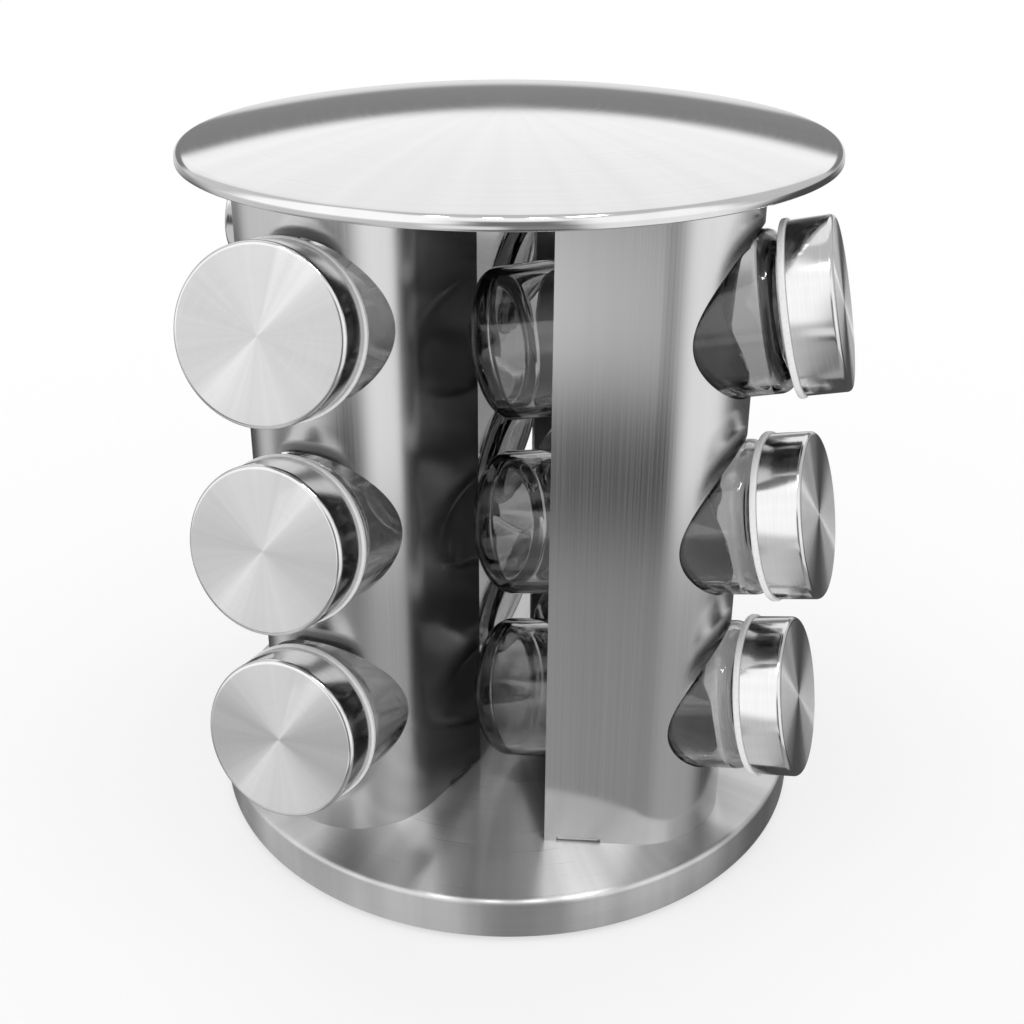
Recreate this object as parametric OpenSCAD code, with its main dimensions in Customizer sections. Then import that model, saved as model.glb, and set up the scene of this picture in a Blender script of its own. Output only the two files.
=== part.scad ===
// Rotating spice rack: four bent-sheet columns on a turning base, each holding three tilted jars.
// Origin: centre of the resting plane under the foot pads. +Z is up.
// The columns stand round the rack like a pinwheel, so the foot of each jar stops
// against the free edge of the next column.

/* [Base] */
// Diameter of the base cover
base_d = 190.5; // [180:0.5:210]
// Radius of the rounded edge round the base's top face
base_edge_r = 1.5; // [1:0.1:3]
// Gap between the base cover's lower edge and the table
base_lift = 1.5; // [1:0.1:2.5]

/* [Lid] */
// Diameter of the lid
lid_d = 186.5; // [180:0.5:210]
// Height of the lid from its lower edge to its top
lid_h = 12.6; // [11:0.1:20]
// Radius of the rounded rim of the lid
lid_rim_r = 2.5; // [2:0.1:3]
// Height of the upright lip below the rounded rim
lid_lip_h = 1.4; // [1:0.1:3]
// Width of the hem turned in under the top plate
lid_hem_w = 5; // [4:0.1:6]

/* [Columns] */
// Gap between the top row's caps and the lid's lower edge
lid_gap = 5.65; // [3:0.05:20]
// Width of the sheet beside a hole, seen from in front of the column's nose
nose_land = 4.3; // [3.7:0.1:5.7]
// Angle by which each wing opens away from the column's middle plane
wing_flare = 15.2; // [13:0.1:16]
// Distance from the rack's axis to the nose's centre, along the column
nose_reach = 51.3; // [50.5:0.1:53]
// Distance from the rack's axis to the column's middle plane
column_offset = 30.3; // [30:0.1:31.5]
// Length of a wing inwards from the nose's centre
wing_len = 18.3; // [17:0.1:19]
// Thickness of the column's sheet
column_t = 0.8; // [0.6:0.1:1]

/* [Seats] */
// Upward tilt of the jars' cap ends
jar_tilt = 12.8; // [11.5:0.1:13.5]
// Gap between the bottom row's jars and the base
base_gap = 5.63; // [4:0.01:10]
// Height from one row of jars to the next
row_pitch = 58.5; // [57.5:0.1:59]
// Radial play between a jar and the hole that it lies in
seat_play = 1; // [0.7:0.1:1.3]
// Sideways turn of the top row's jars within that play
top_row_turn = 2.5; // [0:0.1:3]
// Sideways turn of the middle row's jars within that play
middle_row_turn = -3.4; // [-3.6:0.1:0]
// Sideways turn of the bottom row's jars within that play
bottom_row_turn = -3.2; // [-3.6:0.1:0]

/* [Jars] */
// Diameter of the jar's glass body
jar_d = 42.6; // [41:0.1:43]
// Length of the jar from its foot to the cap's face
jar_len = 95; // [92:0.5:96]
// Thickness of the jar's glass wall
jar_wall = 2.4; // [2:0.1:3.5]
// Thickness of the jar's glass foot
jar_foot_t = 5; // [3:0.1:8]
// Corner radius of the jar's foot
jar_foot_r = 5; // [3:0.1:6]
// Corner radius of the jar's shoulder
jar_shoulder_r = 4; // [3:0.1:6]

/* [Caps] */
// Diameter of the steel cap
cap_d = 45; // [44.9:0.1:46]
// Length of the cap from its face to the back of its white collar
cap_h = 13.1; // [12:0.1:14]
// Radius of the cap's rounded front edge
cap_edge_r = 1.3; // [1:0.1:2]
// Thickness of the cap's steel shell
cap_t = 0.4; // [0.3:0.1:0.5]
// Thickness of the white collar at the back of the cap
collar_t = 1.7; // [1.2:0.1:2.5]
// Height by which the collar stands proud of the shell
collar_proud = 0.6; // [0.3:0.1:1]
// Radial play between the beads of the neck and of the cap's liner
thread_play = 0.15; // [0.1:0.05:0.4]

/* [Bearing] */
// Diameter of the circle that the balls run on
ball_circle_d = 100; // [90:1:120]
// Diameter of a bearing ball
ball_d = 5; // [4.5:0.1:5.2]
// Number of bearing balls
ball_count = 16; // [8:1:20]
// Gap between the stationary foot plate's edge and the base cover's side, seen from below
foot_plate_gap = 10.5; // [8:0.5:14]
// Thickness of the foot plate
foot_plate_t = 1.2; // [1:0.1:1.5]
// Diameter of a rubber foot pad
foot_pad_d = 13; // [8:0.5:16]
// Height of a rubber foot pad
foot_pad_h = 2; // [2:0.1:2.4]
// Number of rubber foot pads
foot_pad_count = 6; // [4:1:8]
// Height of the spacers between the turntable plate and the base cover
spacer_h = 1.9; // [1.6:0.1:6]

/* [Hidden] */
$fn = 96;
overrun = 1;
columns = 4;
rows = 3;
quarter_turn = 360 / columns;
row_turns = [top_row_turn, middle_row_turn, bottom_row_turn];

// Sheet metal of the base and the lid
sheet_t = 0.8;
plate_gap = 0.1;

// Column plan, with X along the column and out through its nose
hole_r = jar_d / 2 + seat_play;
nose_r = hole_r + nose_land;
free_edge_x = -wing_len;
free_edge_y = nose_r * cos(wing_flare) + (wing_len + nose_r * sin(wing_flare)) * tan(wing_flare);
wing_flat = (wing_len + nose_r * sin(wing_flare)) / cos(wing_flare);

// Folded tabs that fix each wing to the base and to the top plate
tab_w = 12;
tab_len = 11;
tab_bend_r = 1.4;
tab_relief = 0.4;
tab_edge_gap = 4;
tab_rivet_y = 6.4;

// Rivets through the tabs
rivet_r = 1.5;
rivet_head_r = 3;
rivet_head_h = 0.9;
rivet_clearance = 0.05;

// Seats: a jar lies on the lower lip of its hole, and turns about the place where the hole pinches it
lip_gap = 0.3;
stop_gap = 0.45;
pinch_x = sqrt(pow(nose_r - column_t / 2, 2) - pow(hole_r, 2));
seat_drop = seat_play - lip_gap;
stop_x = free_edge_y - column_offset;
seat_x = nose_reach + pinch_x;

// Distance from the pinch back along the jar's axis to its foot, and on to the cap's face
foot_reach = seat_x - stop_x - stop_gap;
foot_back = jar_foot_r + (foot_reach - jar_foot_r
    - (jar_d / 2 - jar_foot_r) * sin(jar_tilt)) / cos(jar_tilt);
face_ahead = jar_len - foot_back;

// Jar neck and cap, measured back from the cap's face
cap_fit = 0.05;
liner_t = 1.5;
liner_top_t = 1.2;
liner_top_fit = 0.1;
mouth_gap = 0.2;
neck_gap = 0.6;
mouth_back = cap_t + liner_top_fit + liner_top_t + mouth_gap;
neck_back = cap_h + neck_gap;
neck_wall = 2.4;
bead_h = 1.2;
bead_proud = 0.6;
bead_places_shares = [0.3, 0.62];
liner_r = cap_d / 2 - cap_t - cap_fit;
liner_bore_r = liner_r - liner_t;
grip_bead_share = 0.46;
grip_bead_proud = 1;
neck_r = liner_bore_r - grip_bead_proud - thread_play - bead_proud;
collar_r = cap_d / 2 + collar_proud;

// Bearing between the stationary foot plate and the turning base
foot_plate_d = base_d - 2 * (sheet_t + foot_plate_gap);
race_w = 10;
race_t = 2.4;
race_gap = 0.1;
foot_plate_z = foot_pad_h;
lower_race_z = foot_plate_z + foot_plate_t;
ball_bite = 1.2;
ball_z = lower_race_z + race_t - ball_bite + ball_d / 2;
upper_race_z = ball_z + ball_d / 2 - ball_bite;
turntable_z = upper_race_z + race_t;
turntable_t = 1;
turntable_d = ball_circle_d + 2 * race_w;
base_top_z = turntable_z + turntable_t + spacer_h + sheet_t;
cage_t = 1;
cage_w = 9;
ball_pocket_gap = 0.15;

// Pivot pin through the middle of both plates
pin_r = 3;
pin_head_r = 6;
pin_head_h = 1.4;
pin_clearance = 0.08;
clip_r = 5;
clip_t = 0.8;
clip_gap = 0.15;
clip_groove = 0.4;
pin_tail = 0.4;

// Weld studs, spacers and nuts that hang the turntable plate under the base cover
stud_count = 4;
stud_circle_r = 30;
stud_r = 1.5;
stud_clearance = 0.1;
spacer_r = 4;
nut_af = 5.5;
nut_h = 2.2;
stud_tail = 0.6;

// Pads and where they sit
foot_pad_circle_share = 0.86;

// Heights of the seats at the nose's centre line, above the base and below the lid
jar_drop = (foot_back - jar_foot_r) * sin(jar_tilt)
    + (jar_d / 2 - jar_foot_r + seat_drop) * cos(jar_tilt) + jar_foot_r - pinch_x * tan(jar_tilt);
cap_rise = (face_ahead - cap_edge_r) * sin(jar_tilt)
    + (cap_d / 2 - cap_edge_r - seat_drop) * cos(jar_tilt) + cap_edge_r + pinch_x * tan(jar_tilt);
top_seat_z = base_top_z + base_gap + jar_drop + (rows - 1) * row_pitch;
column_top_z = top_seat_z + cap_rise + lid_gap + sheet_t;
column_h = column_top_z - base_top_z;

side_names = ["right", "back", "left", "front"];
row_names = ["top", "middle", "bottom"];

// Placing

// Copies its children evenly round the rack's axis
module around(count, radius) {
    for (i = [0 : count - 1])
        rotate([0, 0, 360 * i / count]) translate([radius, 0, 0]) children();
}

// Moves its children to the nose's centre of the column on one side, with X out through the nose
module at_column(side) {
    rotate([0, 0, quarter_turn * side]) translate([nose_reach, -column_offset, 0]) children();
}

// Height of a row's hole axis at the nose's centre line
function seat_z(row) = top_seat_z - row * row_pitch;

// Moves its children to a hole's pinch, with Z along the hole's axis
module at_hole(row) {
    translate([pinch_x, 0, seat_z(row) + pinch_x * tan(jar_tilt)]) rotate([0, 90 - jar_tilt, 0]) children();
}

// Moves its children to the middle of a jar's cap face, with Z out along the jar's axis
module at_cap_face(side, row) {
    at_column(side)
        translate([pinch_x, 0, seat_z(row) + pinch_x * tan(jar_tilt)])
        rotate([0, 90 - jar_tilt, row_turns[row]])
        translate([seat_drop, 0, face_ahead]) children();
}

// Moves its children to a wing's free edge: X runs back towards the nose, Y points out of the wing
module at_wing(hand) {
    mirror([0, hand > 0 ? 0 : 1, 0])
        translate([free_edge_x, free_edge_y, 0]) rotate([0, 0, -wing_flare]) children();
}

// Outlines that repeat

// Half outline of a solid of revolution with rounded lower and upper corners
module round_cornered(r, low, high, low_r, high_r) {
    translate([0, low + low_r]) square([r, high - low - low_r - high_r]);
    translate([0, low]) square([r - low_r, high - low]);
    intersection() {
        union() {
            translate([r - low_r, low + low_r]) circle(low_r);
            translate([r - high_r, high - high_r]) circle(high_r);
        }
        translate([0, low]) square([r, high - low]);
    }
}

// Flat ring or disc
module ring(outer, inner, h) {
    difference() {
        cylinder(h = h, r = outer);
        translate([0, 0, -overrun]) cylinder(h = h + 2 * overrun, r = inner);
    }
}

// Base, from the table up

module foot_pads() {
    color([0.1, 0.1, 0.1])
        around(foot_pad_count, foot_plate_d / 2 * foot_pad_circle_share)
        cylinder(h = foot_pad_h, d = foot_pad_d);
}

module foot_plate() {
    color([0.62, 0.62, 0.62])
        translate([0, 0, foot_plate_z]) ring(foot_plate_d / 2, pin_r + pin_clearance, foot_plate_t);
}

// Ring with a ball groove in its upper face
module race() {
    difference() {
        ring(ball_circle_d / 2 + race_w / 2, ball_circle_d / 2 - race_w / 2, race_t);
        translate([0, 0, race_t - ball_bite + ball_d / 2])
            rotate_extrude() translate([ball_circle_d / 2, 0]) circle(d = ball_d + 2 * race_gap);
    }
}

module lower_race() {
    color([0.5, 0.5, 0.5]) translate([0, 0, lower_race_z]) race();
}

module upper_race() {
    color([0.5, 0.5, 0.5]) translate([0, 0, turntable_z]) mirror([0, 0, 1]) race();
}

module bearing_balls() {
    color([0.75, 0.75, 0.75])
        translate([0, 0, ball_z]) around(ball_count, ball_circle_d / 2) sphere(d = ball_d);
}

module ball_cage() {
    color([0.8, 0.78, 0.7])
        translate([0, 0, ball_z - cage_t / 2])
        difference() {
            ring(ball_circle_d / 2 + cage_w / 2, ball_circle_d / 2 - cage_w / 2, cage_t);
            translate([0, 0, -overrun]) around(ball_count, ball_circle_d / 2)
                cylinder(h = cage_t + 2 * overrun, r = ball_d / 2 + ball_pocket_gap);
        }
}

module turntable_plate() {
    color([0.6, 0.6, 0.6])
        translate([0, 0, turntable_z])
        difference() {
            ring(turntable_d / 2, pin_r + pin_clearance, turntable_t);
            translate([0, 0, -overrun]) around(stud_count, stud_circle_r)
                cylinder(h = turntable_t + 2 * overrun, r = stud_r + stud_clearance);
        }
}

// Headed pin, with a groove for the clip above the turntable plate
module pivot_pin() {
    clip_z = turntable_z + turntable_t + clip_gap;
    color([0.55, 0.55, 0.55])
        difference() {
            union() {
                translate([0, 0, foot_plate_z - pin_head_h]) cylinder(h = pin_head_h, r = pin_head_r);
                translate([0, 0, foot_plate_z])
                    cylinder(h = clip_z + clip_t + pin_tail - foot_plate_z, r = pin_r);
            }
            translate([0, 0, clip_z]) ring(pin_r + overrun, pin_r - clip_groove, clip_t);
        }
}

module pivot_clip() {
    color([0.35, 0.35, 0.35])
        translate([0, 0, turntable_z + turntable_t + clip_gap])
        ring(clip_r, pin_r - clip_groove, clip_t);
}

module plate_studs() {
    stud_low = turntable_z - nut_h - stud_tail;
    color([0.6, 0.6, 0.6])
        translate([0, 0, stud_low]) around(stud_count, stud_circle_r)
        cylinder(h = base_top_z - sheet_t - stud_low, r = stud_r);
}

module plate_spacers() {
    color([0.7, 0.7, 0.7])
        translate([0, 0, turntable_z + turntable_t]) around(stud_count, stud_circle_r)
        ring(spacer_r, stud_r + stud_clearance, spacer_h);
}

module plate_nuts() {
    color([0.65, 0.65, 0.65])
        translate([0, 0, turntable_z - nut_h]) around(stud_count, stud_circle_r)
        difference() {
            cylinder(h = nut_h, d = nut_af / cos(30), $fn = 6);
            translate([0, 0, -overrun]) cylinder(h = nut_h + 2 * overrun, r = stud_r + rivet_clearance);
        }
}

// Drawn cover with a rounded top edge, open below
module base_cover() {
    color([0.72, 0.72, 0.72])
        difference() {
            rotate_extrude() round_cornered(base_d / 2, base_lift, base_top_z, 0, base_edge_r);
            rotate_extrude() round_cornered(base_d / 2 - sheet_t, base_lift - overrun, base_top_z - sheet_t,
                                            0, base_edge_r - sheet_t);
            translate([0, 0, base_top_z - sheet_t - overrun])
                rivet_places() cylinder(h = sheet_t + 2 * overrun, r = rivet_r + rivet_clearance);
        }
}

// Columns

// Filled plan of a column: the nose and the two wings that open away from it
module column_plan(r, back) {
    tangent_x = r * sin(wing_flare);
    tangent_y = r * cos(wing_flare);
    back_y = tangent_y + (back + tangent_x) * tan(wing_flare);
    intersection() {
        circle(r);
        translate([-back, -r]) square([back + r, 2 * r]);
    }
    polygon([[tangent_x, tangent_y], [-back, back_y], [-back, -back_y], [tangent_x, -tangent_y]]);
}

// Middle of a tab along the wing
function tab_x() = tab_edge_gap + tab_w / 2;

// Gap cut in a wing's lower edge where its tab folds in
module tab_notch() {
    translate([tab_x() - tab_w / 2 - tab_relief, -2 * column_t, -overrun])
        cube([tab_w + 2 * tab_relief, 4 * column_t, tab_bend_r + overrun]);
}

// Tab folded in from a wing's lower edge, with its bend
module tab() {
    translate([tab_x() - tab_w / 2, -tab_bend_r, tab_bend_r])
        intersection() {
            rotate([0, 90, 0])
                difference() {
                    cylinder(h = tab_w, r = tab_bend_r);
                    translate([0, 0, -overrun])
                        cylinder(h = tab_w + 2 * overrun, r = tab_bend_r - column_t);
                }
            translate([0, 0, -tab_bend_r]) cube([tab_w, tab_bend_r, tab_bend_r]);
        }
    difference() {
        translate([tab_x() - tab_w / 2, -tab_len, 0]) cube([tab_w, tab_len - tab_bend_r, column_t]);
        translate([tab_x(), -tab_rivet_y, -overrun])
            cylinder(h = column_t + 2 * overrun, r = rivet_r + rivet_clearance);
    }
}

// Places its children at the rivets of every column, on the base's top face
module rivet_places() {
    for (side = [0 : columns - 1], hand = [-1, 1])
        at_column(side) at_wing(hand) translate([tab_x(), -tab_rivet_y, 0]) children();
}

// Sheet bent into a nose and two wings, with tabs at both ends and a hole for each jar
module column(side) {
    at_column(side) {
        difference() {
            translate([0, 0, base_top_z]) linear_extrude(column_h)
                difference() {
                    column_plan(nose_r, wing_len);
                    column_plan(nose_r - column_t, wing_len + overrun);
                }
            for (row = [0 : rows - 1])
                at_hole(row) cylinder(h = 2 * nose_r, r = hole_r, center = true);
            for (hand = [-1, 1]) {
                translate([0, 0, base_top_z]) at_wing(hand) tab_notch();
                translate([0, 0, column_top_z]) mirror([0, 0, 1]) at_wing(hand) tab_notch();
            }
        }
        for (hand = [-1, 1]) {
            translate([0, 0, base_top_z]) at_wing(hand) tab();
            translate([0, 0, column_top_z]) mirror([0, 0, 1]) at_wing(hand) tab();
        }
    }
}

// Rivet through a tab and the sheet behind it, with its lower head hung from z = 0
module rivet(sheet) {
    cylinder(h = column_t + sheet, r = rivet_r);
    translate([0, 0, -rivet_head_h]) cylinder(h = rivet_head_h, r = rivet_head_r);
    translate([0, 0, column_t + sheet]) cylinder(h = rivet_head_h, r = rivet_head_r);
}

module base_rivets() {
    color([0.7, 0.7, 0.7])
        translate([0, 0, base_top_z - sheet_t]) rivet_places() rivet(sheet_t);
}

module top_rivets() {
    color([0.7, 0.7, 0.7])
        translate([0, 0, column_top_z - column_t]) rivet_places() rivet(sheet_t);
}

// Lid

// Plate that the columns' upper tabs are riveted to
module top_plate() {
    color([0.6, 0.6, 0.6])
        translate([0, 0, column_top_z])
        difference() {
            cylinder(h = sheet_t, r = lid_d / 2 - sheet_t - plate_gap);
            translate([0, 0, -overrun])
                rivet_places() cylinder(h = sheet_t + 2 * overrun, r = rivet_r + rivet_clearance);
        }
}

// Radius of the dome that meets the rim's arc without a corner
function dome_r(r, h, rim) =
    (pow(h - lid_lip_h, 2) + pow(r - rim, 2) - pow(rim, 2)) / (2 * (h - lid_lip_h - rim));

// Filled half outline of the lid: an upright lip, a rim arc and a shallow dome on the axis
module lid_outline(r, h, rim, low) {
    big_r = dome_r(r, h, rim);
    centre_z = h - big_r;
    meet = atan2(lid_lip_h - centre_z, r - rim);
    meet_x = big_r * cos(meet);
    meet_z = centre_z + big_r * sin(meet);
    intersection() {
        translate([0, centre_z]) circle(big_r, $fn = 360);
        translate([0, low]) square([meet_x, h - low]);
    }
    intersection() {
        translate([r - rim, lid_lip_h]) circle(rim);
        translate([0, lid_lip_h]) square([r, meet_z]);
    }
    translate([0, low]) square([r, lid_lip_h - low]);
}

module lid_shell() {
    color([0.8, 0.8, 0.8])
        translate([0, 0, column_top_z - sheet_t]) {
            rotate_extrude()
                difference() {
                    lid_outline(lid_d / 2, lid_h, lid_rim_r, 0);
                    lid_outline(lid_d / 2 - sheet_t, lid_h - sheet_t, lid_rim_r - sheet_t, -overrun);
                }
            ring(lid_d / 2 - sheet_t / 2, lid_d / 2 - lid_hem_w, sheet_t);
        }
}

// Jars, drawn back from the cap's face along -Z

// Clear jar with a thick foot, a rounded shoulder and a neck with raised beads
module jar(side, row) {
    neck_len = neck_back - mouth_back;
    color([0.85, 0.9, 0.9, 0.35])
        at_cap_face(side, row)
        difference() {
            union() {
                rotate_extrude()
                    round_cornered(jar_d / 2, -jar_len, -neck_back, jar_foot_r, jar_shoulder_r);
                translate([0, 0, -neck_back - jar_shoulder_r])
                    cylinder(h = neck_len + jar_shoulder_r, r = neck_r);
                for (place = bead_places_shares)
                    translate([0, 0, -mouth_back - neck_len * place - bead_h])
                        cylinder(h = bead_h, r = neck_r + bead_proud);
            }
            rotate_extrude()
                round_cornered(jar_d / 2 - jar_wall, -jar_len + jar_foot_t, -neck_back - jar_wall,
                               jar_foot_r - jar_wall, jar_shoulder_r);
            translate([0, 0, -neck_back - 2 * jar_shoulder_r])
                cylinder(h = neck_len + 2 * jar_shoulder_r + overrun, r = neck_r - neck_wall);
        }
}

// White liner that screws on the neck, with a collar showing behind the steel shell
module liner(side, row) {
    top_back = cap_t + liner_top_fit;
    color([0.95, 0.95, 0.95])
        at_cap_face(side, row)
        difference() {
            union() {
                translate([0, 0, -cap_h]) cylinder(h = cap_h - top_back, r = liner_r);
                translate([0, 0, -cap_h]) cylinder(h = collar_t, r = collar_r);
            }
            difference() {
                translate([0, 0, -cap_h - overrun])
                    cylinder(h = cap_h + overrun - top_back - liner_top_t, r = liner_bore_r);
                translate([0, 0, -mouth_back - (neck_back - mouth_back) * grip_bead_share - bead_h])
                    ring(liner_bore_r + overrun, liner_bore_r - grip_bead_proud, bead_h);
            }
        }
}

// Steel shell pressed over the liner
module cap(side, row) {
    color([0.78, 0.78, 0.78])
        at_cap_face(side, row)
        difference() {
            rotate_extrude() round_cornered(cap_d / 2, -cap_h + collar_t, 0, 0, cap_edge_r);
            rotate_extrude()
                round_cornered(cap_d / 2 - cap_t, -cap_h + collar_t - overrun, -cap_t, 0, cap_edge_r - cap_t);
        }
}

foot_pads();
foot_plate();
lower_race();
bearing_balls();
ball_cage();
upper_race();
turntable_plate();
pivot_pin();
pivot_clip();
plate_studs();
plate_spacers();
plate_nuts();
base_cover();
base_rivets();
top_plate();
top_rivets();
lid_shell();
for (side = [0 : columns - 1]) {
    color([0.75, 0.75, 0.75]) column(side);
    for (row = [0 : rows - 1]) {
        jar(side, row);
        liner(side, row);
        cap(side, row);
    }
}
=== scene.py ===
"""Looks of the rotating spice rack: brushed and polished steel, clear glass and white plastic."""
import math

import bmesh
import bpy
from mathutils import Matrix, Vector


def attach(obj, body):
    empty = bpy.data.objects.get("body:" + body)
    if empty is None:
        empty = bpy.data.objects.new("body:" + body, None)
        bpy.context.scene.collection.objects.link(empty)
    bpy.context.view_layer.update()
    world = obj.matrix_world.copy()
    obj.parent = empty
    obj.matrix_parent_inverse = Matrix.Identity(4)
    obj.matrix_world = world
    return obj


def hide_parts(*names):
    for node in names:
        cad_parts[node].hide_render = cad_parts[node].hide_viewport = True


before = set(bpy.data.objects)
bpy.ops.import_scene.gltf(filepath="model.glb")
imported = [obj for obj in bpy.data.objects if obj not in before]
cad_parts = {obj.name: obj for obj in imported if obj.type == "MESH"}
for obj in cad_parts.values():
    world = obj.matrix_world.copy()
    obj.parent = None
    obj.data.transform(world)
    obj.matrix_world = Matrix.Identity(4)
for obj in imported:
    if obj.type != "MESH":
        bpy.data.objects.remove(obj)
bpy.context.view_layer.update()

# Lengths here are in millimetres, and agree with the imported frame; MM turns them into metres.
MM = 0.001

BASE_R = 95.25
BASE_TOP = 14.3
BASE_EDGE_R = 1.5
BASE_LIFT = 1.5
BASE_LIP_R = 0.1
SHEET_T = 0.8
SHEET_END_R = 0.3

LID_R = 93.25
LID_H = 12.6
LID_RIM_R = 2.5
LID_LIP_H = 1.4
LID_HEM_W = 5.0

COLUMN_H = 191.599
NOSE_R = 26.6
WING_FLARE = math.radians(15.2)
NOSE_REACH = 51.3
COLUMN_OFFSET = 30.3
WING_LEN = 18.3
COLUMN_T = 0.8
TAB_W = 12.0
TAB_LEN = 11.0
TAB_BEND_R = 1.4
TAB_RELIEF = 0.4
TAB_EDGE_GAP = 4.0
TAB_CHAMFER = 0.3
TAB_OVERLAP = 0.3
EDGE_ROUND = 0.16

JAR_TILT = math.radians(12.8)
TOP_SEAT_Z = 167.596
ROW_PITCH = 58.5
SEAT_PLAY = 1.0
SEAT_DROP = 0.7
STOP_GAP = 0.45
ROW_TURNS = [math.radians(turn) for turn in (2.5, -3.4, -3.2)]

JAR_R = 21.3
JAR_LEN = 95.0
JAR_WALL = 2.4
JAR_FOOT_T = 5.0
JAR_FOOT_R = 5.0
JAR_SHOULDER_R = 4.0
NECK_R = 18.8
NECK_WALL = 2.4
NECK_BACK = 13.7
MOUTH_BACK = 1.9
MOUTH_EDGE_R = 0.6
BEAD_H = 1.2
BEAD_PROUD = 0.6
# Where the two beads' tops lie, as shares of the neck's length back from the mouth.
BEAD_SHARES = (0.62, 0.3)

CAP_R = 22.5
CAP_H = 13.1
CAP_EDGE_R = 1.3
CAP_T = 0.4
COLLAR_R = 23.1
COLLAR_T = 1.7
LINER_R = 22.05
LINER_BORE_R = 20.55
LINER_BACK = 0.5
LINER_TOP_T = 1.2
LINER_EDGE_R = 0.45
LINER_CHAMFER = 0.3
GRIP_BEAD_R = 0.6
GRIP_BEAD_SHARE = 0.46

# Lengths worked out from those above. PINCH_X is how far out a seat hole's widest part meets the nose.
HOLE_R = JAR_R + SEAT_PLAY
PINCH_X = math.sqrt((NOSE_R - COLUMN_T / 2) ** 2 - HOLE_R ** 2)
NOSE_FROM_X = NOSE_R * math.sin(WING_FLARE)
COLUMN_TOP = BASE_TOP + COLUMN_H
LID_LOW = COLUMN_TOP - SHEET_T

SIDES = ["right", "back", "left", "front"]
ROWS = ["top", "middle", "bottom"]

# Steps round the turned pieces, and the angles in degrees above which an edge is drawn sharp.
BASE_STEPS = 256
LID_STEPS = 360
JAR_STEPS = 128
CAP_STEPS = 160
HOLE_STEPS = 160
NOSE_STEPS = 72
TURNED_SHARP = 35
SHEET_SHARP = 30
BENT_SHARP = 50
# Corners nearer to each other than this, in metres, become one.
MERGE_DISTANCE = 1e-7

# The photograph's camera, in millimetres and degrees; its pictures are 1024 pixels square.
PICTURE = 1024
CAMERA_TURN = 18.61
CAMERA_BACK = 372.58
CAMERA_UP = 281.39
CAMERA_YAW = -0.69
CAMERA_PITCH = 24.27
CAMERA_ROLL = -0.12
FOCAL_PIXELS = 1300.0
CENTRE_X_PIXELS = -18.84
CENTRE_Y_PIXELS = -73.66
SENSOR = 36.0


# Outlines and meshes


def arc(centre, radius, start, end, steps):
    """Points on a circle's arc between two angles in degrees."""
    points = []
    for i in range(steps + 1):
        angle = math.radians(start + (end - start) * i / steps)
        points.append((centre[0] + radius * math.cos(angle), centre[1] + radius * math.sin(angle)))
    return points


def finish_mesh(name, mesh_data, sharp_degrees):
    """Turn a bmesh into a smooth-shaded object whose sharp edges stay sharp."""
    bmesh.ops.remove_doubles(mesh_data, verts=mesh_data.verts, dist=MERGE_DISTANCE)
    bmesh.ops.recalc_face_normals(mesh_data, faces=mesh_data.faces)
    mesh = bpy.data.meshes.new(name)
    mesh_data.to_mesh(mesh)
    mesh_data.free()
    for polygon in mesh.polygons:
        polygon.use_smooth = True
    mesh.set_sharp_from_angle(angle=math.radians(sharp_degrees))
    piece = bpy.data.objects.new(name, mesh)
    bpy.context.scene.collection.objects.link(piece)
    return piece


def lathe(name, outline, steps):
    """Solid of revolution about Z from (radius, height) points that start and end on the axis."""
    mesh_data = bmesh.new()
    rings = []
    for radius, height in outline:
        if radius == 0:
            rings.append([mesh_data.verts.new((0, 0, height * MM))])
            continue
        ring = []
        for i in range(steps):
            angle = 2 * math.pi * i / steps
            ring.append(mesh_data.verts.new((radius * MM * math.cos(angle),
                                             radius * MM * math.sin(angle), height * MM)))
        rings.append(ring)
    for low, high in zip(rings[:-1], rings[1:]):
        for i in range(steps):
            j = i + 1
            corners = [low[i % len(low)], low[j % len(low)], high[j % len(high)], high[i % len(high)]]
            unique = list(dict.fromkeys(corners))
            if len(unique) >= 3:
                mesh_data.faces.new(unique)
    return finish_mesh(name, mesh_data, TURNED_SHARP)


def paint(piece, *materials):
    """Give a piece its materials in place of any that it has."""
    piece.data.materials.clear()
    for material in materials:
        piece.data.materials.append(material)


def box_cutter(low, high):
    """Temporary block between two corners, in millimetres, for cutting."""
    mesh_data = bmesh.new()
    bmesh.ops.create_cube(mesh_data, size=1)
    for vert in mesh_data.verts:
        for axis in range(3):
            middle = (low[axis] + high[axis]) / 2
            vert.co[axis] = (middle + vert.co[axis] * (high[axis] - low[axis])) * MM
    return finish_mesh("cutter", mesh_data, SHEET_SHARP)


def cut(piece, cutters):
    """Cut temporary solids out of a piece and delete them."""
    for cutter in cutters:
        modifier = piece.modifiers.new("cut", "BOOLEAN")
        modifier.operation = "DIFFERENCE"
        modifier.solver = "EXACT"
        modifier.object = cutter
    apply_modifiers(piece)
    for cutter in cutters:
        bpy.data.objects.remove(cutter)


def apply_modifiers(piece):
    """Put the result of a piece's modifiers into its mesh."""
    bpy.context.view_layer.update()
    shown = piece.evaluated_get(bpy.context.evaluated_depsgraph_get())
    mesh = bpy.data.meshes.new_from_object(shown)
    piece.modifiers.clear()
    piece.data = mesh


# Places


def column_place(side):
    """Matrix of a column's own frame: X out through the nose, Z up."""
    turn = Matrix.Rotation(math.radians(90 * side), 4, "Z")
    return turn @ Matrix.Translation(Vector((NOSE_REACH, -COLUMN_OFFSET, 0)) * MM)


def seat_height(row):
    return TOP_SEAT_Z - row * ROW_PITCH


def wing_edge_y():
    """Distance of a wing's free edge from the column's middle plane."""
    return NOSE_R * math.cos(WING_FLARE) + (WING_LEN + NOSE_FROM_X) * math.tan(WING_FLARE)


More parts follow.
